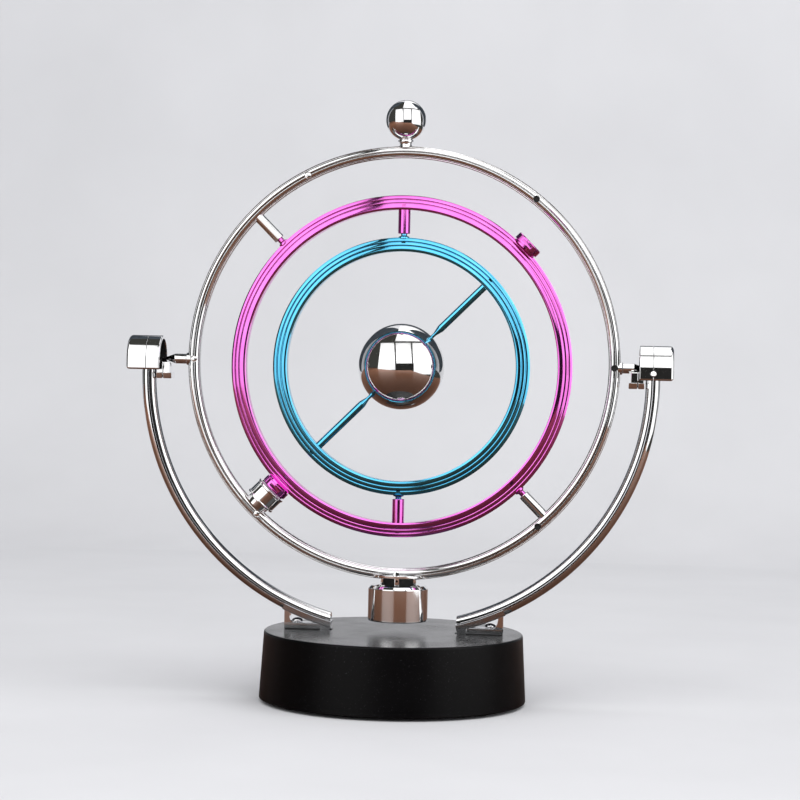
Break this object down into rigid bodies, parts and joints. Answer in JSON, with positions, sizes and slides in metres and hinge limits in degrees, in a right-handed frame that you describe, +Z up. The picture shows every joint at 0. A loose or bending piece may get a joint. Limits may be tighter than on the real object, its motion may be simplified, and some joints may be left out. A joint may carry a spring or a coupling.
{
  "type": "magnetic desk sculpture",
  "caption": "Desk sculpture whose ball and nested rings swing and spin inside one another between curved arms, on a round battery base with a USB lead.",
  "frame": {"origin": "middle of the round base, on the surface that its rubber feet stand on", "axes": "+Z up; +X along the outer ring's axle towards the right arm; -Y towards the viewer and +Y towards the power inlet"},
  "size_m": [0.218, 0.1691, 0.2406],
  "materials": {
    "black_matte": "black moulded plastic, fine matte grain",
    "black_rubber": "soft black",
    "chrome": "plastic with a mirror chrome plating",
    "magenta_chrome": "plastic with a mirror plating tinted magenta",
    "cyan_chrome": "plastic with a mirror plating tinted cyan blue",
    "steel": "bright plated steel",
    "magnet": "nickel-plated magnet",
    "copper": "enamelled copper wire",
    "board_green": "glass-epoxy board",
    "cell_wrap": "dark blue battery wrap, no marking",
    "white_plastic": "white moulded plastic"
  },
  "bodies": {
    "base": {"base_shell": "black_matte", "base_bottom_cover": "black_matte", "rubber_foot_1": "black_rubber", "rubber_foot_2": "black_rubber", "rubber_foot_3": "black_rubber", "rubber_foot_4": "black_rubber", "cover_screw_1": "steel", "cover_screw_2": "steel", "cover_screw_3": "steel", "cover_screw_4": "steel", "battery_1": "cell_wrap", "battery_2": "cell_wrap", "battery_3": "cell_wrap", "battery_4": "cell_wrap", "battery_contact_front": "steel", "battery_contact_rear": "steel", "coil_bobbin": "white_plastic", "coil_winding": "copper", "circuit_board": "board_green", "dc_jack": "black_matte", "power_switch": "black_matte", "left_arm_outer_half": "chrome", "left_arm_inner_half": "chrome", "left_pivot_seat": "chrome", "left_foot_screw": "steel", "right_arm_outer_half": "chrome", "right_arm_inner_half": "chrome", "right_pivot_seat": "chrome", "right_foot_screw": "steel", "dc_plug": "black_rubber", "lead_plug_to_coil": "black_rubber", "lead_coil": "black_rubber", "lead_coil_to_usb": "black_rubber", "usb_plug": "black_rubber"},
    "battery_door": {"battery_door": "black_matte"},
    "switch_slider": {"switch_slider": "white_plastic"},
    "outer_ring": {"outer_ring_front": "chrome", "outer_ring_back": "chrome", "left_axle": "chrome", "right_axle": "chrome", "upper_left_socket": "chrome", "lower_right_socket": "chrome", "top_ball": "chrome", "drive_magnet_cup": "chrome", "drive_magnet": "magnet", "ring_magnet_holder": "chrome", "ring_magnet": "magnet"},
    "middle_ring": {"middle_ring_front": "magenta_chrome", "middle_ring_back": "magenta_chrome", "middle_ring_magnet_cap_1": "magenta_chrome", "middle_ring_magnet_cap_2": "magenta_chrome", "middle_ring_magnet_1": "magnet", "middle_ring_magnet_2": "magnet", "middle_ring_upper_socket": "magenta_chrome", "middle_ring_lower_socket": "magenta_chrome"},
    "inner_ring": {"inner_ring_front": "cyan_chrome", "inner_ring_back": "cyan_chrome", "ball_spindle": "cyan_chrome"},
    "centre_ball": {"centre_ball_front": "chrome", "centre_ball_back": "chrome"}
  },
  "joints": [
    {"name": "ring_swing", "type": "hinge", "parent": "base", "child": "outer_ring", "pos_m": [0.0015, 0, 0.1355], "axis": [1, 0, 0], "continuous": true},
    {"name": "middle_ring_spin", "type": "hinge", "parent": "outer_ring", "child": "middle_ring", "pos_m": [0.0008, 0, 0.1343], "axis": [-0.7071, 0, 0.7071], "continuous": true},
    {"name": "inner_ring_spin", "type": "hinge", "parent": "middle_ring", "child": "inner_ring", "pos_m": [0.0008, 0, 0.1343], "axis": [0, 0, 1], "continuous": true},
    {"name": "ball_spin", "type": "hinge", "parent": "inner_ring", "child": "centre_ball", "pos_m": [0.0008, 0, 0.1343], "axis": [0.7071, 0, 0.7071], "continuous": true},
    {"name": "battery_door_swing", "type": "hinge", "parent": "base", "child": "battery_door", "pos_m": [0, 0.0194, 0.0021], "axis": [1, 0, 0], "range_deg": [0, 95]},
    {"name": "switch_slide", "type": "slide", "parent": "base", "child": "switch_slider", "axis": [1, 0, 0], "range_m": [0, 0.002]}
  ]
}
